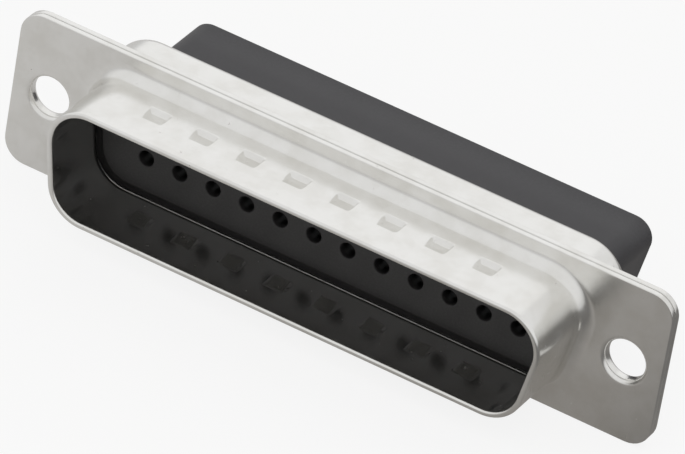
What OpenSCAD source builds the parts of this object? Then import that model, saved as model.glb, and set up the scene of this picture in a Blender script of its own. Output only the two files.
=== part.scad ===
// D-sub plug, 25 way, crimp housing: two drawn steel shells clinched together round a
// moulded insulator in two halves. +X is to the right seen from the mating side, the nose
// points along -Y and the wide row is at the top. The origin is midway between the two
// mounting holes, on the front face of the flange.

/* [Flange] */
// Length of both flanges
flange_w = 53.04; // [52:0.01:66]
// Height of both flanges
flange_h = 12.55; // [12:0.01:16]
// Corner radius of the flanges
flange_corner = 1.8; // [0.5:0.1:3]
// Thickness of the steel sheet of both shells
sheet = 0.45; // [0.3:0.01:0.6]

/* [Mounting holes] */
// Distance between the two mounting holes
hole_spacing = 47.04; // [46.8:0.01:48]
// Clear diameter of a mounting hole
hole_d = 3.12; // [2.6:0.01:3.3]
// Radius of the smooth lip that leads into a hole
lip_r = 0.4; // [0.2:0.01:0.44]
// Wall of the collar that runs back from the lip
collar_wall = 0.42; // [0.3:0.01:0.5]
// Diameter of the collar's clinched end
clinch_d = 4.7; // [4.4:0.01:4.8]
// Thickness of the clinched end
clinch_t = 0.22; // [0.15:0.01:0.6]
// Radius by which the collar flares out towards that end
flare_r = 0.5; // [0.1:0.01:0.6]

/* [Nose] */
// Inside width of the nose at its widest
nose_w = 38.96; // [37:0.01:40]
// Inside height of the nose
nose_h = 8.36; // [8.2:0.01:9.4]
// Inside corner radius of the nose
nose_corner = 2.6; // [2.2:0.1:3.2]
// Slope of the two short sides, from upright
lean = 10; // [0:1:14]
// Reach of the nose in front of the flange
nose_depth = 6.35; // [5:0.01:8]
// Radius of the fillet at the foot of the nose
nose_foot = 1.0; // [0.3:0.05:1.2]
// Rounding of both edges of the rim
rim_r = 0.2; // [0.05:0.01:0.22]

/* [Earthing dimples] */
// Dimples on each long side of the nose
dimple_count = 8; // [1:1:9]
// Distance from one dimple to the next
dimple_pitch = 3.826; // [2.4:0.001:4.2]
// Width of a dimple
dimple_w = 1.6; // [1:0.1:2]
// Length of a dimple, from its deep end to where it fades out
dimple_run = 1.55; // [1:0.05:2.2]
// Depth of a dimple at its deep end
dimple_depth = 0.32; // [0.1:0.01:0.4]
// Length of the steep face at the deep end
dimple_steep = 0.2; // [0.1:0.01:0.4]
// Distance from the flange to the deep end
dimple_set = 2.2; // [1.6:0.05:3]

/* [Rear pan] */
// Outside width of the pan at its widest
pan_w = 41.6; // [41.2:0.01:42]
// Outside height of the pan
pan_h = 10.7; // [10.4:0.01:11.4]
// Outside corner radius of the pan
pan_corner = 3.3; // [3:0.1:4]
// Distance from the front of the flange to the back of the pan
pan_back = 4.95; // [4:0.01:7]
// Radius of the fillet at the foot of the pan
pan_foot = 0.3; // [0.1:0.05:0.4]
// Rounding of the back edge of the pan
pan_edge = 1.0; // [0.7:0.05:1.2]

/* [Insulator] */
// Width of the rear body at its widest
body_w = 37.84; // [36.4:0.01:38.4]
// Height of the rear body
body_h = 6.36; // [6:0.01:7]
// Corner radius of the rear body
body_corner = 1.54; // [0.5:0.01:2]
// Distance from the front of the flange to the back of the rear body
body_back = 11.97; // [9:0.01:20]
// Distance of the contact face behind the front of the flange
face_set = 0.18; // [0:0.01:0.4]
// Distance from the front of the flange to the joint between the two halves
split_back = 2.2; // [1.4:0.01:3.4]

/* [Contact cavities] */
// Number of contacts, shared by an upper and a lower row
contacts = 25; // [9:2:25]
// Distance between neighbours in a row
pitch = 2.768; // [2.6:0.001:2.84]
// Distance between the two rows
row_gap = 2.84; // [2.7:0.01:3.2]
// Diameter of the hole that a pin stands out of
pin_d = 1.2; // [1:0.01:1.3]
// Diameter of the bore that holds the contact's barrel
barrel_d = 1.7; // [1.4:0.01:1.9]
// Diameter of the chamber that the retaining tines open in
chamber_d = 2.05; // [1.9:0.01:2.1]
// Depth of that chamber behind the joint between the halves
chamber_depth = 1.4; // [0.8:0.01:2]
// Diameter of the wire entry
entry_d = 2.2; // [2.15:0.01:2.3]
// Depth of the wire entry
entry_depth = 3.2; // [1:0.01:5]
// Depth of the barrel's seat in the front half
barrel_seat = 0.9; // [0.3:0.01:1.2]
// Width of the bevel round a cavity's mouth
mouth_bevel = 0.12; // [0.05:0.01:0.18]

/* [Fits] */
// Gap left between the two flange sheets
sheet_gap = 0.06; // [0.01:0.01:0.1]
// Gap round a collar in its hole in the rear flange
collar_gap = 0.04; // [0.01:0.01:0.1]
// Gap round the insulator in the shells
seat_gap = 0.1; // [0.05:0.01:0.2]
// Gap between faces that are clamped together
clamp_gap = 0.02; // [0.01:0.01:0.05]

/* [Hidden] */
$fn = 64;
reach = 1; // how far a cutting shape runs past what it cuts
arc_steps = 10; // flats along each corner of a drawn shell
bend_steps = 5; // flats across each of its bends and rounded edges
rear_front = -sheet - sheet_gap; // front face of the rear sheet
rear_back = rear_front - sheet; // back face of the rear sheet
hole_r = hole_d / 2;
collar_r = hole_r + collar_wall;
nose_turns = d_turns(nose_w, nose_h, nose_corner);
pan_turns = d_turns(pan_w, pan_h, pan_corner);
body_turns = d_turns(body_w, body_h, body_corner);
pan_in = pan_corner - sheet;
rear_half = -split_back - clamp_gap; // front face of the insulator's rear half
dimple_margin = 0.15; // extra width of the bump that a dimple makes inside
lip_land = 0.2; // flat ring of the front sheet that a collar is drawn from
break_edge = 0.1; // bevel that takes the sharpness off the clinched end
upper = ceil(contacts / 2);
lower = contacts - upper;

// The four corners of a D: [x, y, angle where the arc starts, angle it turns through].
function d_turns(w, h, r) =
    let (top = [w / 2 - r, h / 2 - r])
    let (low = [top[0] - (h - 2 * r) * tan(lean), -top[1]])
    [[top[0], top[1], -lean, 90 + lean],
     [-top[0], top[1], 90, 90 + lean],
     [-low[0], low[1], 180 + lean, 90 - lean],
     [low[0], low[1], 270, 90 - lean]];

// Stands the part up: the nose points along -Y and the wide row is at the top.
module upright() {
    rotate([90, 0, 0]) children();
}

// A D with arcs of radius r round the corner centres.
module d_outline(turns, r) {
    for (t = turns) translate([t[0], t[1]]) circle(r);
    polygon([for (t = turns, a = [t[2], t[2] + t[3]]) [t[0] + r * cos(a), t[1] + r * sin(a)]]);
}

// A D-shaped plate between two heights.
module d_plate(turns, r, from, to) {
    translate([0, 0, from]) linear_extrude(to - from) d_outline(turns, r);
}

// A solid through D-shaped rings, each given as [radius round the corner centres, height].
module d_loft(turns, rings) {
    around = 4 * (arc_steps + 1);
    last = len(rings) - 1;
    points = [for (g = rings, t = turns, k = [0:arc_steps])
        let (a = t[2] + t[3] * k / arc_steps)
        [t[0] + g[0] * cos(a), t[1] + g[0] * sin(a), g[1]]];
    sides = [for (j = [0:last - 1], k = [0:around - 1])
        let (n = (k + 1) % around)
        [j * around + k, (j + 1) * around + k, (j + 1) * around + n, j * around + n]];
    bottom = [for (k = [0:around - 1]) k];
    top = [for (k = [around - 1:-1:0]) last * around + k];
    polyhedron(points, concat(sides, [bottom, top]), convexity = 4);
}

// Rings of a bend that starts level at a flange and ends upright on a wall. The sheet turns
// round a centre that lies foot outside the wall and foot above the flange.
function bend_rings(r_wall, foot, radius) =
    [for (k = [0:bend_steps])
        let (a = 90 * k / bend_steps)
        [r_wall + foot - radius * sin(a), foot - radius * cos(a)]];

// Rings of a rounded edge at the end of a wall.
function edge_rings(r, to, edge) =
    [for (k = [0:bend_steps])
        let (a = 90 * k / bend_steps)
        [r - edge + edge * cos(a), to - edge + edge * sin(a)]];

// Rings of a hollow's open end, rounded outwards and run on past it.
function mouth_rings(r, to, edge) =
    concat([for (k = [0:bend_steps])
        let (a = 90 * k / bend_steps)
        [r + edge - edge * cos(a), to - edge + edge * sin(a)]], [[r + edge, to + reach]]);

// The outside of a drawn wall: a fillet at the foot and a rounded edge at the end.
module drawn_outside(turns, r_in, foot, depth, edge) {
    r = r_in + sheet;
    foot_rings = bend_rings(r, foot, foot);
    d_loft(turns, concat([[r + foot, -sheet / 2]], foot_rings, edge_rings(r, depth, edge)));
}

// The hollow of a drawn wall, from behind the flange up to its end's rings.
module drawn_inside(turns, r_in, foot, end_rings) {
    foot_rings = bend_rings(r_in + sheet, foot, foot + sheet);
    d_loft(turns, concat([[r_in + sheet + foot, -sheet - reach]], foot_rings, end_rings));
}

// One flange sheet, with its front face at height 0.
module flange_sheet() {
    x = flange_w / 2 - flange_corner;
    y = flange_h / 2 - flange_corner;
    translate([0, 0, -sheet]) linear_extrude(sheet) {
        square([flange_w, 2 * y], center = true);
        square([2 * x, flange_h], center = true);
        for (sx = [-x, x], sy = [-y, y]) translate([sx, sy]) circle(flange_corner);
    }
}

module at_holes() {
    for (x = [-hole_spacing / 2, hole_spacing / 2]) translate([x, 0, 0]) children();
}

// A round hole through one sheet at each mounting hole.
module sheet_holes(r) {
    at_holes() translate([0, 0, -sheet - reach]) cylinder(sheet + 2 * reach, r = r);
}

// What rounds a square corner of a section over: the corner is at [0, 0], outside is above.
module round_over(r) {
    difference() {
        translate([-reach, -r]) square([r + reach, r + reach]);
        translate([r, -r]) circle(r);
    }
}

// The collar of a mounting hole: a smooth lip in front, a short sleeve, and an end that
// flares out and is clinched over the rear sheet.
module collar() {
    seat = rear_back - clamp_gap;
    back = seat - clinch_t;
    land = hole_r + lip_r + lip_land;
    clinch_r = clinch_d / 2;
    rotate_extrude() difference() {
        polygon([[hole_r, 0], [land, 0], [land, -sheet], [collar_r, -sheet], [collar_r, seat],
                 [clinch_r - break_edge, seat], [clinch_r, seat - break_edge],
                 [clinch_r - break_edge, back], [hole_r, back]]);
        translate([hole_r, 0]) round_over(lip_r);
        translate([hole_r, back]) mirror([0, 1]) round_over(flare_r);
    }
}

// Section of a dimple along the nose: a steep deep end near the flange, then a ramp that
// fades out. The margin widens it, and lift runs it past the face that it is pressed into.
module dimple_section(margin, lift) {
    deep = dimple_set + dimple_steep;
    polygon([[dimple_set - margin, lift], [dimple_set - margin, 0], [deep - margin / 2, -dimple_depth],
             [deep + margin / 2, -dimple_depth], [dimple_set + dimple_run + margin, 0],
             [dimple_set + dimple_run + margin, lift]]);
}

// The dimples in both long sides, pressed in from a face that far from the middle.
module dimples(face, margin, lift) {
    width = dimple_w + 2 * margin;
    for (side = [0, 180], i = [0:dimple_count - 1]) {
        x = (i - (dimple_count - 1) / 2) * dimple_pitch;
        rotate([0, 0, side]) translate([x + width / 2, face, 0]) rotate([0, -90, 0])
            linear_extrude(width) dimple_section(margin, lift);
    }
}

// A place for each contact: the upper row has one more than the lower.
module at_contacts() {
    for (row = [[upper, row_gap / 2], [lower, -row_gap / 2]], i = [0:row[0] - 1])
        translate([(i - (row[0] - 1) / 2) * pitch, row[1], 0]) children();
}

// The front half of a cavity: the pin's hole, bevelled in front, and the barrel's seat.
module pin_cavity() {
    r = pin_d / 2;
    seat = -split_back + barrel_seat;
    rotate_extrude() polygon([[0, reach], [r + mouth_bevel + reach, reach], [r, -face_set - mouth_bevel],
                              [r, seat], [barrel_d / 2, seat], [barrel_d / 2, -split_back - reach],
                              [0, -split_back - reach]]);
}

// The rear half: the chamber for the tines, the barrel's bore and the bevelled wire entry.
module wire_cavity() {
    r = barrel_d / 2;
    r_in = entry_d / 2;
    chamber_end = rear_half - chamber_depth;
    entry_end = -body_back + entry_depth;
    rotate_extrude() polygon([[0, rear_half + reach], [chamber_d / 2, rear_half + reach],
                              [chamber_d / 2, chamber_end], [r, chamber_end], [r, entry_end + r_in - r],
                              [r_in, entry_end], [r_in, -body_back + mouth_bevel],
                              [r_in + mouth_bevel + reach, -body_back - reach], [0, -body_back - reach]]);
}

// Front flange and nose, drawn forwards from one sheet, with the collars drawn backwards.
module front_shell() {
    mouth = mouth_rings(nose_corner, nose_depth, rim_r);
    color("gainsboro") upright() difference() {
        union() {
            difference() {
                union() {
                    flange_sheet();
                    drawn_outside(nose_turns, nose_corner, nose_foot, nose_depth, rim_r);
                }
                drawn_inside(nose_turns, nose_corner, nose_foot, mouth);
                sheet_holes(hole_r + lip_r / 2);
            }
            at_holes() collar();
            dimples(nose_h / 2, dimple_margin, sheet / 2);
        }
        dimples(nose_h / 2 + sheet, 0, reach);
    }
}

// Rear flange and pan, drawn backwards from one sheet, with a D opening for the body.
module rear_shell() {
    depth = pan_back + rear_back;
    floor_rings = edge_rings(pan_in, depth - sheet, pan_edge - sheet);
    color("lightgray") upright() translate([0, 0, rear_back]) rotate([0, 180, 0]) difference() {
        union() {
            flange_sheet();
            drawn_outside(pan_turns, pan_in, pan_foot, depth, pan_edge);
        }
        drawn_inside(pan_turns, pan_in, pan_foot, floor_rings);
        d_plate(body_turns, body_corner + seat_gap, depth / 2, depth + reach);
        sheet_holes(collar_r + collar_gap);
    }
}

// Front half of the insulator: the contact face in the nose, on a flange held by the pan.
module front_insulator() {
    color("dimgray") upright() difference() {
        union() {
            d_plate(nose_turns, nose_corner - seat_gap, -split_back / 2, -face_set);
            d_plate(pan_turns, pan_in - seat_gap, -split_back, -sheet - clamp_gap);
        }
        at_contacts() pin_cavity();
    }
}

// Rear half of the insulator: a flange that fills the pan, and the body that takes the wires.
module rear_insulator() {
    round_start = -pan_back + pan_edge;
    pan_floor = -pan_back + sheet + clamp_gap;
    color("darkslategray") upright() difference() {
        union() {
            d_plate(pan_turns, pan_in - seat_gap, round_start, rear_half);
            d_plate(pan_turns, pan_corner - pan_edge - seat_gap, pan_floor, rear_half);
            d_plate(body_turns, body_corner, -body_back, rear_half);
        }
        at_contacts() wire_cavity();
    }
}

front_shell();
rear_shell();
front_insulator();
rear_insulator();
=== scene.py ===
"""Looks of the D-sub plug: two drawn tin-plated shells round a black insulator, camera, light and floor.

Shapes are drawn in millimetres in the shells' own drawing frame (across, up, forward out of the
flange) and placed into the part's frame in metres as the last step.
"""

import math

import bmesh
import bpy
import mathutils
from mathutils import Matrix, Vector


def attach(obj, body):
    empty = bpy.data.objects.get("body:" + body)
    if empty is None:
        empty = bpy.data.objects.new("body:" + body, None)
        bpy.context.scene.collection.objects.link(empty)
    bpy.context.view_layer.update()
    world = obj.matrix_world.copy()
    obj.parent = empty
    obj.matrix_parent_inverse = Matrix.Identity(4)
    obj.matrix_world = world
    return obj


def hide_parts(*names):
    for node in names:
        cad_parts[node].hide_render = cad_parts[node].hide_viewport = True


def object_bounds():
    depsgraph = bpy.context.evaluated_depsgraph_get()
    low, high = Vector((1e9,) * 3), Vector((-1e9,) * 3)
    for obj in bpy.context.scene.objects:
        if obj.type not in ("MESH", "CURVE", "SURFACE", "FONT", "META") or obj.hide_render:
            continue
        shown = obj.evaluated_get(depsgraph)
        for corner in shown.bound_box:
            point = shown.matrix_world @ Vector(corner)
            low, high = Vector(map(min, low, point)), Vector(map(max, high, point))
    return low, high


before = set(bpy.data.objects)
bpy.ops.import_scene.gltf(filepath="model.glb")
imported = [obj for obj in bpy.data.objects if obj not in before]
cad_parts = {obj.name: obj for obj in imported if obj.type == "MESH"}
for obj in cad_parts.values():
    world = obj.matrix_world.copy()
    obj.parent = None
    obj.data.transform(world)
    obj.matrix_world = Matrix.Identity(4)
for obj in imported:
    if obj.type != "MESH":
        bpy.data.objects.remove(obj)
cad_low, cad_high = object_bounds()

MM = 0.001
# across stays X, up becomes Z, forward becomes -Y
DRAWING_TO_PART = Matrix(((MM, 0, 0, 0), (0, 0, -MM, 0), (0, MM, 0, 0), (0, 0, 0, 1)))

# ---------------------------------------------------------------- sizes, in mm
FLANGE_W, FLANGE_H, FLANGE_CORNER, SHEET = 53.04, 12.55, 1.8, 0.45
HOLE_SPACING, HOLE_R, LIP_R = 47.04, 1.56, 0.4
COLLAR_R, CLINCH_R, CLINCH_T, FLARE_R = 1.98, 2.35, 0.22, 0.5
NOSE_W, NOSE_H, NOSE_CORNER, LEAN = 38.96, 8.36, 2.6, 10.0
NOSE_DEPTH, NOSE_FOOT, RIM_R = 6.35, 1.0, 0.2
DIMPLES, DIMPLE_PITCH, DIMPLE_W = 8, 3.826, 1.6
DIMPLE_SET, DIMPLE_RUN, DIMPLE_DEPTH = 2.2, 1.55, 0.32
PAN_W, PAN_H, PAN_CORNER, PAN_BACK = 41.6, 10.7, 3.3, 4.95
PAN_FOOT, PAN_EDGE = 0.3, 1.0
BODY_W, BODY_H, BODY_CORNER, BODY_BACK = 37.84, 6.36, 1.54, 11.97
FACE_SET, SPLIT_BACK = 0.18, 2.2
UPPER, LOWER, PITCH, ROW_GAP = 13, 12, 2.768, 2.84
PIN_R, ENTRY_R, CHAMBER_R, BARREL_R = 0.6, 1.1, 1.025, 0.85
CHAMBER_DEPTH, ENTRY_DEPTH, BARREL_RUN = 1.4, 3.2, 0.9
SHEET_GAP, SEAT_GAP, COLLAR_GAP, CLAMP_GAP = 0.06, 0.1, 0.04, 0.02

REAR_FRONT = -SHEET - SHEET_GAP
REAR_BACK = REAR_FRONT - SHEET


# ---------------------------------------------------------------- drawing helpers
def d_corners(w, h, r):
    """The four corners of a D: centre across, centre up, start angle, angle turned through."""
    top_x, top_y = w / 2 - r, h / 2 - r
    low_x = top_x - 2 * top_y * math.tan(math.radians(LEAN))
    return (
        (top_x, top_y, -LEAN, 90 + LEAN),
        (-top_x, top_y, 90, 90 + LEAN),
        (-low_x, -top_y, 180 + LEAN, 90 - LEAN),
        (low_x, -top_y, 270, 90 - LEAN),
    )


NOSE = d_corners(NOSE_W, NOSE_H, NOSE_CORNER)
PAN = d_corners(PAN_W, PAN_H, PAN_CORNER)
BODY = d_corners(BODY_W, BODY_H, BODY_CORNER)
PLATE = tuple(
    (sx * (FLANGE_W / 2 - FLANGE_CORNER), sy * (FLANGE_H / 2 - FLANGE_CORNER), start, 90)
    for sx, sy, start in ((1, 1, 0), (-1, 1, 90), (-1, -1, 180), (1, -1, 270))
)


def round_outline(corners, r, steps=16, sides=(1, 1, 1, 1)):
    """Points round four corners at radius r. sides gives each straight side's extra points as
    a count of equal parts or as a list of fractions along it."""
    out = []
    for k, (cx, cy, start, turn) in enumerate(corners):
        for i in range(steps + 1):
            a = math.radians(start + turn * i / steps)
            out.append((cx + r * math.cos(a), cy + r * math.sin(a)))
        nx, ny, nstart, _ = corners[(k + 1) % 4]
        x0, y0 = out[-1]
        a = math.radians(nstart)
        x1, y1 = nx + r * math.cos(a), ny + r * math.sin(a)
        side = sides[k]
        parts = [j / side for j in range(1, side)] if isinstance(side, int) else side
        out += [(x0 + (x1 - x0) * t, y0 + (y1 - y0) * t) for t in parts]
    return out


def circle(cx, cy, r, n=64):
    return [(cx + r * math.cos(math.tau * i / n), cy + r * math.sin(math.tau * i / n)) for i in range(n)]


def arc(cx, cy, r, start, end, steps):
    """Points of an arc in a section, from angle start to end in degrees."""
    angles = [math.radians(start + (end - start) * i / steps) for i in range(steps + 1)]
    return [(cx + r * math.cos(a), cy + r * math.sin(a)) for a in angles]


class Drawing:
    """Collects the faces of one piece and turns them into a closed mesh."""

    def __init__(self):
        self.points, self.faces = [], []

    def ring(self, outline, z):
        """Adds a ring of points. z is one height or a list with one for each point."""
        first = len(self.points)
        heights = z if isinstance(z, list) else [z] * len(outline)
        self.points += [(x, y, h) for (x, y), h in zip(outline, heights)]
        return list(range(first, first + len(outline)))

    def band(self, a, b):
        """Quads between two rings of the same count."""
        n = len(a)
        self.faces += [(a[i], a[(i + 1) % n], b[(i + 1) % n], b[i]) for i in range(n)]

    def bands(self, rings):
        for a, b in zip(rings, rings[1:]):
            self.band(a, b)

    def fill(self, outer, holes=()):
        """Fills the flat face between an outer ring and the rings of its round or D-shaped holes."""
        loops = [outer, *holes]
        ids = [i for loop in loops for i in loop]
        hole_of = {i: k for k, hole in enumerate(holes) for i in hole}
        flat = [Vector(self.points[i][:2]) for i in ids]
        edges, at = [], 0
        for loop in loops:
            n = len(loop)
            edges += [(at + i, at + (i + 1) % n) for i in range(n)]
            at += n
        verts, _, faces, origin, _, _ = mathutils.geometry.delaunay_2d_cdt(flat, edges, [], 2, 1e-7)
        place = [ids[o[0]] for o in origin]
        for face in faces:
            face = tuple(place[v] for v in face)
            owners = {hole_of.get(v) for v in face}
            if len(owners) > 1 or owners == {None}:
                self.faces.append(face)

    def make(self, name):
        mesh = bpy.data.meshes.new(name)
        mesh.from_pydata(self.points, [], self.faces)
        return finish_mesh(name, mesh)


def finish_mesh(name, mesh):
    """Joins touching points, turns every face outwards and places the mesh in the part's frame."""
    work = bmesh.new()
    work.from_mesh(mesh)
    bmesh.ops.remove_doubles(work, verts=work.verts, dist=0.0005)
    bmesh.ops.transform(work, matrix=DRAWING_TO_PART, verts=work.verts)
    bmesh.ops.recalc_face_normals(work, faces=work.faces)
    for face in work.faces:
        face.smooth = True
    work.to_mesh(mesh)
    work.free()
    piece = bpy.data.objects.new(name, mesh)
    bpy.context.scene.collection.objects.link(piece)
    return piece


def smoothstep(t):
    t = min(1.0, max(0.0, t))
    return t * t * (3 - 2 * t)


# ---------------------------------------------------------------- drawn shells
DIMPLE_EDGE = 0.26  # width over which a dimple's side walls fall
DIMPLE_WALL = 0.3  # length over which its deep end falls
DIMPLE_SPREAD = 0.35  # share of a side wall that lies outside the dimple's own width
DIMPLE_LEAD = 0.05  # how far before its place a dimple's deep end starts
DIMPLE_FADE = 0.12  # share of the depth below which the shallow end runs out smoothly


def dimple_centres():
    return [(i - (DIMPLES - 1) / 2) * DIMPLE_PITCH for i in range(DIMPLES)]


def dimple_press(x, z):
    """How deep the sheet is pressed in at a place on a long side."""
    across = min(abs(x - c) for c in dimple_centres())
    side = smoothstep((DIMPLE_W / 2 - across) / DIMPLE_EDGE + DIMPLE_SPREAD)
    if z < DIMPLE_SET + DIMPLE_WALL:
        along = smoothstep((z - DIMPLE_SET + DIMPLE_LEAD) / DIMPLE_WALL)
    else:
        along = max(0.0, (DIMPLE_SET + DIMPLE_RUN - z) / (DIMPLE_RUN - DIMPLE_WALL))
        if 0 < along <= DIMPLE_FADE:
            along = along * along / (2 * DIMPLE_FADE) + DIMPLE_FADE / 2
    return DIMPLE_DEPTH * side * along


def dimple_fractions(corners, k):
    """Fractions along long side k at which the wall needs points to hold its dimples."""
    half = abs(corners[k][0])
    offsets = [DIMPLE_W / 2 * s for s in (-1.12, 1.12)]
    steps = 5
    for s in (-1, 1):
        edge = DIMPLE_W / 2 + DIMPLE_SPREAD * DIMPLE_EDGE
        offsets += [s * (edge - DIMPLE_EDGE * j / steps) for j in range(-1, steps + 2)]
    offsets += [0.0, 0.25, -0.25]
    xs = sorted({round(c + o, 4) for c in dimple_centres() for o in offsets})
    ts = [(half - x) / (2 * half) for x in xs]
    if k == 2:
        ts = [1 - t for t in ts]
    return sorted(t for t in ts if 0 < t < 1)


def nose_rings(drawing, section, corners, steps, sides):
    """Rings of the nose along a section of (radius round the corner centres, height).
    The long sides are pressed in where they have dimples."""
    rings = []
    top = NOSE_H / 2 - NOSE_CORNER
    for r, z in section:
        outline = round_outline(corners, r, steps, sides)
        if DIMPLE_SET - 0.3 < z < DIMPLE_SET + DIMPLE_RUN + 0.2 and r < NOSE_CORNER + SHEET + 0.01:
            moved = []
            for x, y in outline:
                if abs(abs(y) - top - r) < 1e-4:
                    y = y - math.copysign(dimple_press(x, z), y)
                moved.append((x, y))
            outline = moved
        rings.append(drawing.ring(outline, z))
    return rings


def wall_heights():
    """Heights up the nose's wall, close together where the dimples are."""
    plain = [NOSE_FOOT + 0.02, 1.6, DIMPLE_SET - 0.25, DIMPLE_SET - 0.12]
    deep = [DIMPLE_SET - DIMPLE_LEAD + DIMPLE_WALL * j / 6 for j in range(7)]
    ramp = [DIMPLE_SET + DIMPLE_WALL + (DIMPLE_RUN - DIMPLE_WALL) * j / 9 for j in range(10)]
    return plain + deep + ramp + [DIMPLE_SET + DIMPLE_RUN + 0.1, 4.4, 5.3, NOSE_DEPTH - 0.35]


EDGE = 0.07  # rounding of the sheared edges of the sheet
EDGE_TURNS = (0, 22.5, 45, 67.5, 90)  # angles at which a sheared edge has its rings
HOLD = 0.06  # width of the flat rim that keeps a flat face's shading flat
COLLAR_BEND = 0.06  # small bends where a collar leaves its flange and its clinch
MOUTH_EDGE = 0.05  # rounding of the pan's mouth
HOLE_EDGE = 0.03  # bevel of the rear flange's punched holes


def plate_outline(inset):
    return round_outline(PLATE, FLANGE_CORNER - inset, 8, (8, 4, 8, 4))


def plate_edge(drawing, front, back):
    """The sheared edge of a flange, from the front hold ring to the back one."""
    section = [(EDGE + HOLD, front)]
    section += [(EDGE - EDGE * math.sin(math.radians(a)), front - EDGE + EDGE * math.cos(math.radians(a)))
                for a in EDGE_TURNS]
    section += [(EDGE - EDGE * math.sin(math.radians(a)), back + EDGE - EDGE * math.cos(math.radians(a)))
                for a in reversed(EDGE_TURNS)]
    section += [(EDGE + HOLD, back)]
    return [drawing.ring(plate_outline(inset), z) for inset, z in section]


def collar_section():
    """Section of a mounting hole's collar as (radius, height), front hold ring to back hold ring."""
    end = REAR_BACK - CLAMP_GAP - CLINCH_T
    under = end + CLINCH_T
    section = [(HOLE_R + LIP_R + HOLD, 0)]
    section += arc(HOLE_R + LIP_R, -LIP_R, LIP_R, 90, 180, 10)
    section += arc(HOLE_R + FLARE_R, end + FLARE_R, FLARE_R, 180, 270, 10)
    section += arc(CLINCH_R - CLINCH_T / 2, end + CLINCH_T / 2, CLINCH_T / 2, 270, 450, 8)
    bend = COLLAR_R + COLLAR_BEND
    section += [(bend, under), (COLLAR_R, under + 0.05), (COLLAR_R, -SHEET - 0.08)]
    section += [(bend, -SHEET), (bend + HOLD, -SHEET)]
    return section


def draw_front_shell():
    d = Drawing()
    steps = 14
    top_side, low_side = dimple_fractions(NOSE, 0), dimple_fractions(NOSE, 2)
    sides = (top_side, 5, low_side, 5)
    outer, inner = NOSE_CORNER + SHEET, NOSE_CORNER
    outside = [(outer + NOSE_FOOT + HOLD, 0)]
    outside += arc(outer + NOSE_FOOT, NOSE_FOOT, NOSE_FOOT, 270, 180, 12)
    outside += [(outer, z) for z in wall_heights()]
    outside += arc(outer - RIM_R, NOSE_DEPTH - RIM_R, RIM_R, 0, 90, 5)
    inside = arc(inner + RIM_R, NOSE_DEPTH - RIM_R, RIM_R, 90, 180, 5)
    inside += [(inner, z) for z in reversed(wall_heights())]
    inside += arc(outer + NOSE_FOOT, NOSE_FOOT, NOSE_FOOT + SHEET, 180, 270, 12)
    inside += [(outer + NOSE_FOOT + HOLD, -SHEET)]
    rings = nose_rings(d, outside, NOSE, steps, sides)
    rings += nose_rings(d, inside, NOSE, steps, sides)
    d.bands(rings)
    edge = plate_edge(d, 0, -SHEET)
    d.bands(edge)
    fronts, backs = [], []
    for x in (-HOLE_SPACING / 2, HOLE_SPACING / 2):
        collar = [d.ring(circle(x, 0, r, 96), z) for r, z in collar_section()]
        d.bands(collar)
        fronts.append(collar[0])
        backs.append(collar[-1])
    d.fill(edge[0], [rings[0], *fronts])
    d.fill(edge[-1], [rings[-1], *backs])
    return d.make("front_shell_drawn")


def draw_rear_shell():
    d = Drawing()
    steps = 16
    outer, inner = PAN_CORNER, PAN_CORNER - SHEET
    depth = PAN_BACK + REAR_BACK

    def back(z):
        return REAR_BACK - z

    outside = [(outer + PAN_FOOT + HOLD, 0)]
    outside += arc(outer + PAN_FOOT, PAN_FOOT, PAN_FOOT, 270, 180, 8)
    outside += [(outer, depth * 0.45)]
    outside += arc(outer - PAN_EDGE, depth - PAN_EDGE, PAN_EDGE, 0, 90, 14)
    outside += [(outer - PAN_EDGE - HOLD, depth)]
    inside = [(inner - PAN_EDGE + SHEET - HOLD, depth - SHEET)]
    inside += arc(inner - PAN_EDGE + SHEET, depth - PAN_EDGE, PAN_EDGE - SHEET, 90, 0, 8)
    inside += [(inner, depth * 0.45)]
    inside += arc(outer + PAN_FOOT, PAN_FOOT, PAN_FOOT + SHEET, 180, 270, 8)
    inside += [(outer + PAN_FOOT + HOLD, -SHEET)]
    sides = (24, 3, 24, 3)
    out_rings = [d.ring(round_outline(PAN, r, steps, sides), back(z)) for r, z in outside]
    in_rings = [d.ring(round_outline(PAN, r, steps, sides), back(z)) for r, z in inside]
    d.bands(out_rings)
    d.bands(in_rings)
    mouth_r = BODY_CORNER + SEAT_GAP + MOUTH_EDGE
    mouth = [(mouth_r + HOLD, depth)]
    mouth += arc(mouth_r, depth - MOUTH_EDGE, MOUTH_EDGE, 90, 180, 3)
    mouth += arc(mouth_r, depth - SHEET + MOUTH_EDGE, MOUTH_EDGE, 180, 270, 3)
    mouth += [(mouth_r + HOLD, depth - SHEET)]
    mouth_rings = [d.ring(round_outline(BODY, r, steps, sides), back(z)) for r, z in mouth]
    d.bands(mouth_rings)
    d.fill(out_rings[-1], [mouth_rings[0]])
    d.fill(in_rings[0], [mouth_rings[-1]])
    edge = plate_edge(d, REAR_FRONT, REAR_BACK)
    d.bands(edge)
    fronts, backs = [], []
    hole = COLLAR_R + COLLAR_GAP
    bevel = hole + HOLE_EDGE
    for x in (-HOLE_SPACING / 2, HOLE_SPACING / 2):
        section = [(bevel + HOLD, REAR_FRONT), (bevel, REAR_FRONT), (hole, REAR_FRONT - HOLE_EDGE)]
        section += [(hole, REAR_BACK + HOLE_EDGE), (bevel, REAR_BACK), (bevel + HOLD, REAR_BACK)]
        wall = [d.ring(circle(x, 0, r), z) for r, z in section]
        d.bands(wall)
        fronts.append(wall[0])
        backs.append(wall[-1])
    d.fill(edge[0], [in_rings[-1], *fronts])
    d.fill(edge[-1], [out_rings[0], *backs])
    return d.make("rear_shell_drawn")


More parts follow.
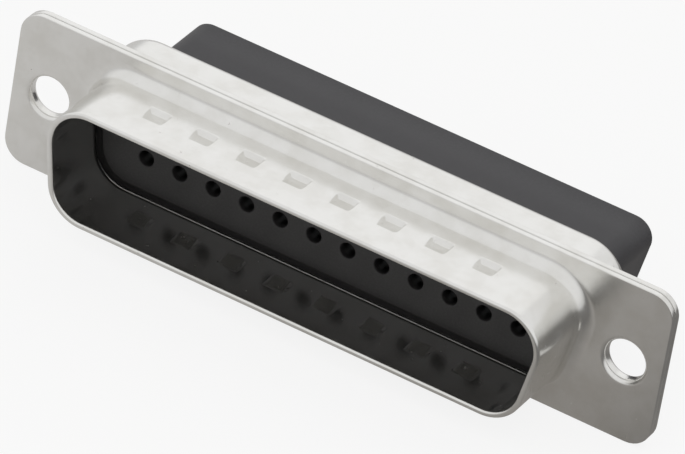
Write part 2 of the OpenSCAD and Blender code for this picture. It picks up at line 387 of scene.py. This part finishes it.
# ---------------------------------------------------------------- moulded insulator
FACE_EDGE, BODY_EDGE = 0.06, 0.18  # rounding of the contact face and of the body's end
PIN_EDGE, ENTRY_EDGE = 0.1, 0.12  # rounding of a cavity's front and back mouth
CHAMFER, SMALL_CHAMFER = 0.1, 0.05  # bevels of the insulator's flanges


def contact_places():
    """Middle of each cavity, numbered from 1: upper row, then lower row, left to right."""
    rows = ((UPPER, ROW_GAP / 2), (LOWER, -ROW_GAP / 2))
    return [((i - (n - 1) / 2) * PITCH, y) for n, y in rows for i in range(n)]


def moulded_edge(r, z, radius, toward, steps=4):
    """A rounded edge at the end of a D block: rings from the wall to the flat end."""
    out = []
    for i in range(steps + 1):
        a = math.radians(90 * i / steps)
        out.append((r - radius + radius * math.cos(a), z + toward * (-radius + radius * math.sin(a))))
    out.append((r - radius - HOLD, z))
    return out


def draw_front_insulator():
    """The contact face in the nose, and the flange of the front half behind it."""
    d = Drawing()
    steps, sides = 14, (1, 1, 1, 1)
    face_r, flange_r = NOSE_CORNER - SEAT_GAP, PAN_CORNER - SHEET - SEAT_GAP
    front, shoulder, back = -FACE_SET, -SHEET - CLAMP_GAP, -SPLIT_BACK
    face = [(face_r, shoulder)] + moulded_edge(face_r, front, FACE_EDGE, 1, 3)
    face_rings = [d.ring(round_outline(NOSE, r, steps, sides), z) for r, z in face]
    d.bands(face_rings)
    step, parting = flange_r - CHAMFER, flange_r - SMALL_CHAMFER
    flange = [(step - HOLD, shoulder), (step, shoulder), (flange_r, shoulder - CHAMFER)]
    flange += [(flange_r, back + SMALL_CHAMFER), (parting, back), (parting - HOLD, back)]
    flange_rings = [d.ring(round_outline(PAN, r, steps, sides), z) for r, z in flange]
    d.bands(flange_rings)
    fronts, backs = [], []
    for x, y in contact_places():
        section = [(PIN_R + PIN_EDGE + HOLD, front)]
        section += arc(PIN_R + PIN_EDGE, front - PIN_EDGE, PIN_EDGE, 90, 180, 4)
        section += [(PIN_R, back + BARREL_RUN), (BARREL_R, back + BARREL_RUN), (BARREL_R, back)]
        wall = [d.ring(circle(x, y, r, 40), z) for r, z in section]
        d.bands(wall)
        fronts.append(wall[0])
        backs.append(wall[-1])
    d.fill(face_rings[-1], fronts)
    d.fill(flange_rings[0], [face_rings[0]])
    d.fill(flange_rings[-1], backs)
    return d.make("front_insulator_moulded")


def draw_rear_insulator():
    """The rear half: a flange inside the pan and the body that takes the wires."""
    d = Drawing()
    steps, sides = 14, (1, 1, 1, 1)
    flange_r = PAN_CORNER - SHEET - SEAT_GAP
    start, end = -SPLIT_BACK - CLAMP_GAP, -BODY_BACK
    shoulder = -PAN_BACK + SHEET + CLAMP_GAP
    parting, seat = flange_r - SMALL_CHAMFER, PAN_CORNER - PAN_EDGE - SEAT_GAP
    flange = [(parting - HOLD, start), (parting, start), (flange_r, start - SMALL_CHAMFER)]
    flange += [(flange_r, -PAN_BACK + PAN_EDGE), (seat, shoulder + SMALL_CHAMFER)]
    flange += [(seat - SMALL_CHAMFER, shoulder), (seat - CHAMFER, shoulder)]
    flange_rings = [d.ring(round_outline(PAN, r, steps, sides), z) for r, z in flange]
    d.bands(flange_rings)
    body = [(BODY_CORNER, shoulder), (BODY_CORNER, end + BODY_EDGE + CHAMFER)]
    body += moulded_edge(BODY_CORNER, end, BODY_EDGE, -1, 5)
    body_rings = [d.ring(round_outline(BODY, r, steps, sides), z) for r, z in body]
    d.bands(body_rings)
    fronts, backs = [], []
    for x, y in contact_places():
        section = [(CHAMBER_R, start), (CHAMBER_R, start - CHAMBER_DEPTH), (BARREL_R, start - CHAMBER_DEPTH)]
        section += [(BARREL_R, end + ENTRY_DEPTH + ENTRY_R - BARREL_R), (ENTRY_R, end + ENTRY_DEPTH)]
        section += [(ENTRY_R, end + ENTRY_EDGE)]
        section += arc(ENTRY_R + ENTRY_EDGE, end + ENTRY_EDGE, ENTRY_EDGE, 180, 270, 4)
        section += [(ENTRY_R + ENTRY_EDGE + 0.04, end)]
        wall = [d.ring(circle(x, y, r, 48), z) for r, z in section]
        d.bands(wall)
        fronts.append(wall[0])
        backs.append(wall[-1])
    d.fill(flange_rings[0], fronts)
    d.fill(flange_rings[-1], [body_rings[0]])
    d.fill(body_rings[-1], backs)
    return d.make("rear_insulator_moulded")


# ---------------------------------------------------------------- materials
class Value:
    """A shader socket that takes part in Python expressions."""

    def __init__(self, nodes, socket):
        self.nodes, self.socket = nodes, socket

    def _math(self, operation, other):
        return self.nodes.node("ShaderNodeMath", {"operation": operation}, {0: self, 1: other})

    def __add__(self, other):
        return self._math("ADD", other)

    def __mul__(self, other):
        return self._math("MULTIPLY", other)

    def between(self, low, high):
        """0 below low, 1 above high, smooth in between."""
        return self.nodes.node(
            "ShaderNodeMapRange",
            {"interpolation_type": "SMOOTHSTEP"},
            {"Value": self, "From Min": low, "From Max": high},
        )

    __radd__ = __add__
    __rmul__ = __mul__


class Nodes:
    """The node tree of one material or of the world."""

    def __init__(self, tree):
        self.tree = tree
        tree.nodes.clear()

    def node(self, kind, settings=None, inputs=None, output=0):
        """Adds a node: its settings first, then the values or links of its sockets."""
        made = self.tree.nodes.new(kind)
        for key, value in (settings or {}).items():
            setattr(made, key, value)
        for key, value in (inputs or {}).items():
            if value is None:
                continue
            socket = made.inputs[key]
            if isinstance(value, Value):
                self.tree.links.new(value.socket, socket)
            else:
                socket.default_value = value
        return Value(self, made.outputs[output]) if made.outputs else None

    def where(self):
        return self.node("ShaderNodeTexCoord", output="Object")

    def noise(self, where, scale, detail=2.0, rough=0.5, seed=0.0):
        return self.node(
            "ShaderNodeTexNoise",
            {"noise_dimensions": "4D"},
            {"Vector": where, "W": seed, "Scale": scale, "Detail": detail, "Roughness": rough},
        )

    def mix(self, factor, a, b):
        """Mixes two colours, which are inputs 6 and 7 and output 2 of the node."""
        return self.node(
            "ShaderNodeMix", {"data_type": "RGBA"}, {"Factor": factor, 6: a, 7: b}, output=2
        )

    def bump(self, height, distance, strength=1.0, normal=None):
        return self.node(
            "ShaderNodeBump",
            {},
            {"Height": height, "Distance": distance, "Strength": strength, "Normal": normal},
        )

    def mix_shader(self, factor, a, b):
        return self.node("ShaderNodeMixShader", {}, {0: factor, 1: a, 2: b})

    def light_path(self, ray):
        return self.node("ShaderNodeLightPath", output=ray)


class Finish(Nodes):
    """One material and the nodes that make it."""

    def __init__(self, name):
        self.material = bpy.data.materials.new(name)
        self.material.use_nodes = True
        super().__init__(self.material.node_tree)

    def shade(self, shader):
        self.node("ShaderNodeOutputMaterial", {}, {"Surface": shader})
        return self.material

    def surface(self, inputs):
        return self.shade(self.node("ShaderNodeBsdfPrincipled", {}, inputs))


SKIN_CONTRAST = 1.7  # how much paler the mould's skin is at its palest


def tin_plate(name):
    """Bright tin over drawn steel: fine mottle, faint draw lines and a few dark specks."""
    f = Finish(name)
    where = f.where()
    coarse = f.noise(where, 420, 4, 0.6, 1.0)
    fine = f.noise(where, 5200, 3, 0.65, 2.0)
    grain = f.noise(where, 14000, 2, 0.6, 3.0)
    cloud = f.noise(where, 120, 2, 0.5, 4.0)
    colour = f.mix(coarse.between(0.35, 0.7), (0.90, 0.895, 0.875, 1), (0.83, 0.82, 0.79, 1))
    speck = f.noise(where, 2600, 1, 0.5, 5.0).between(0.72, 0.8)
    colour = f.mix(speck * 0.35, colour, (0.38, 0.35, 0.31, 1))
    rough = 0.13 + cloud * 0.08 + fine * 0.08 + speck * 0.2
    relief = f.bump(fine * 0.6 + grain * 0.4, 0.000008, 0.45)
    relief = f.bump(coarse, 0.00004, 0.25, relief)
    return f.surface({"Base Color": colour, "Metallic": 1.0, "Roughness": rough, "Normal": relief})


def black_plastic(name, tint):
    """Moulded black thermoplastic: matt, with the fine skin of a spark-eroded mould."""
    f = Finish(name)
    where = f.where()
    skin = f.noise(where, 6500, 3, 0.6, 1.0)
    flow = f.noise(where, 300, 3, 0.5, 2.0)
    dark = tint + (1,)
    pale = tuple(c * SKIN_CONTRAST for c in tint) + (1,)
    colour = f.mix(skin.between(0.35, 0.75) * 0.7 + flow * 0.3, dark, pale)
    rough = 0.42 + skin * 0.16
    relief = f.bump(skin, 0.000012, 0.5)
    return f.surface({"Base Color": colour, "Roughness": rough, "Normal": relief, "IOR": 1.5})


TIN = tin_plate("bright tin plate")
BODY_BLACK = black_plastic("matt black body", (0.034, 0.033, 0.036))
FACE_BLACK = black_plastic("matt black contact face", (0.026, 0.025, 0.025))


# ---------------------------------------------------------------- pieces
def place(piece, node, material, slot):
    piece.data.materials.append(material)
    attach(piece, "root")
    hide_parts(node)


place(draw_front_shell(), "front_shell", TIN, "tin_plate")
place(draw_rear_shell(), "rear_shell", TIN, "tin_plate")
place(draw_front_insulator(), "front_insulator", FACE_BLACK, "insulator")
place(draw_rear_insulator(), "rear_insulator", BODY_BLACK, "insulator")


# ---------------------------------------------------------------- floor, light and camera
FLOOR_HALF = 0.6
FLOOR_WHITE = 0.85  # how much of the floor that the camera sees is plain white
FLOOR_PAINTED_REFLECTION = 0.8  # how much of the floor in a reflection is a painted reflection: a dim glowing shade instead of the floor's own colour
SKY_HORIZON, SKY_ABOVE = 0.62, 0.98
LENS, SENSOR = 450.44, 36.0
CAMERA_PLACE = Vector((0.20956, -0.44857, 0.33275))
CAMERA_RIGHT = Vector((0.8518, 0.5035, 0.1445))
CAMERA_DOWN = Vector((0.3895, -0.4243, -0.8175))
CAMERA_AHEAD = Vector((-0.3503, 0.7526, -0.5576))


def stage_floor():
    """Pale floor. Mirrors see a painted reflection on it: a dim glowing shade in front of the part, darker
    to the right, painted to stand for the shade of a room.
    """
    z = cad_low[2]
    corners = [(x * FLOOR_HALF, y * FLOOR_HALF, z) for x, y in ((-1, -1), (1, -1), (1, 1), (-1, 1))]
    mesh = bpy.data.meshes.new("floor")
    mesh.from_pydata(corners, [], [(0, 1, 2, 3)])
    floor = bpy.data.objects.new("floor", mesh)
    bpy.context.scene.collection.objects.link(floor)
    f = Finish("pale floor")
    diffuse = f.node("ShaderNodeBsdfDiffuse", {}, {"Color": (0.82, 0.82, 0.81, 1)})
    white = f.node("ShaderNodeEmission", {}, {"Color": (1, 1, 1, 1), "Strength": 1.0})
    across = f.node("ShaderNodeSeparateXYZ", {}, {0: f.where()}, output="X")
    # painted shade for reflections only: dimmer to the right, darkest past the nose's right end
    painted_reflection_shade = f.mix(across.between(-0.036, 0.024), (0.56, 0.55, 0.54, 1), (0.24, 0.225, 0.21, 1))
    painted_reflection_shade = f.mix(across.between(0.018, 0.034), painted_reflection_shade, (0.045, 0.04, 0.036, 1))
    # painted reflection: this emission glows though it is no lamp, and only glossy rays see it
    painted_reflection = f.node("ShaderNodeEmission", {}, {"Color": painted_reflection_shade, "Strength": 1.0})
    seen = f.mix_shader(f.light_path("Is Camera Ray") * FLOOR_WHITE, diffuse, white)
    seen = f.mix_shader(f.light_path("Is Glossy Ray") * FLOOR_PAINTED_REFLECTION, seen, painted_reflection)
    mesh.materials.append(f.shade(seen))


def area_light(name, direction, distance, width, height, strength):
    """A soft box that faces the part. strength is the radiance of its face."""
    data = bpy.data.lights.new(name, "AREA")
    data.shape, data.size, data.size_y = "RECTANGLE", width, height
    data.energy = strength * math.pi * width * height
    lamp = bpy.data.objects.new(name, data)
    away = Vector(direction).normalized()
    lamp.location = away * distance
    lamp.rotation_euler = away.to_track_quat("Z", "Y").to_euler()
    bpy.context.scene.collection.objects.link(lamp)


def studio_world():
    """Soft sky, brighter above than at the horizon. The camera itself sees plain white."""
    world = bpy.data.worlds.new("studio")
    bpy.context.scene.world = world
    world.use_nodes = True
    w = Nodes(world.node_tree)
    direction = w.node("ShaderNodeTexCoord", output="Generated")
    height = w.node("ShaderNodeSeparateXYZ", {}, {0: direction}, output="Z")
    reach = {"From Min": -0.05, "From Max": 0.3, "To Min": SKY_HORIZON, "To Max": SKY_ABOVE}
    glow = w.node("ShaderNodeMapRange", {}, {"Value": height, **reach})
    soft = w.node("ShaderNodeBackground", {}, {"Strength": glow})
    white = w.node("ShaderNodeBackground", {}, {"Strength": 1.0})
    seen = w.mix_shader(w.light_path("Is Camera Ray"), soft, white)
    w.node("ShaderNodeOutputWorld", {}, {"Surface": seen})


def studio_camera():
    data = bpy.data.cameras.new("camera")
    data.sensor_width, data.lens = SENSOR, LENS
    data.clip_start, data.clip_end = 0.01, 10.0
    camera = bpy.data.objects.new("camera", data)
    turn = Matrix((CAMERA_RIGHT, -CAMERA_DOWN, -CAMERA_AHEAD)).transposed()
    camera.matrix_world = Matrix.Translation(CAMERA_PLACE) @ turn.to_4x4()
    bpy.context.scene.collection.objects.link(camera)
    bpy.context.scene.camera = camera


stage_floor()
studio_world()
area_light("back softbox", (-0.35, 0.75, 0.56), 0.5, 0.5, 0.42, 0.12)
studio_camera()
bpy.context.scene.view_settings.view_transform = "Standard"
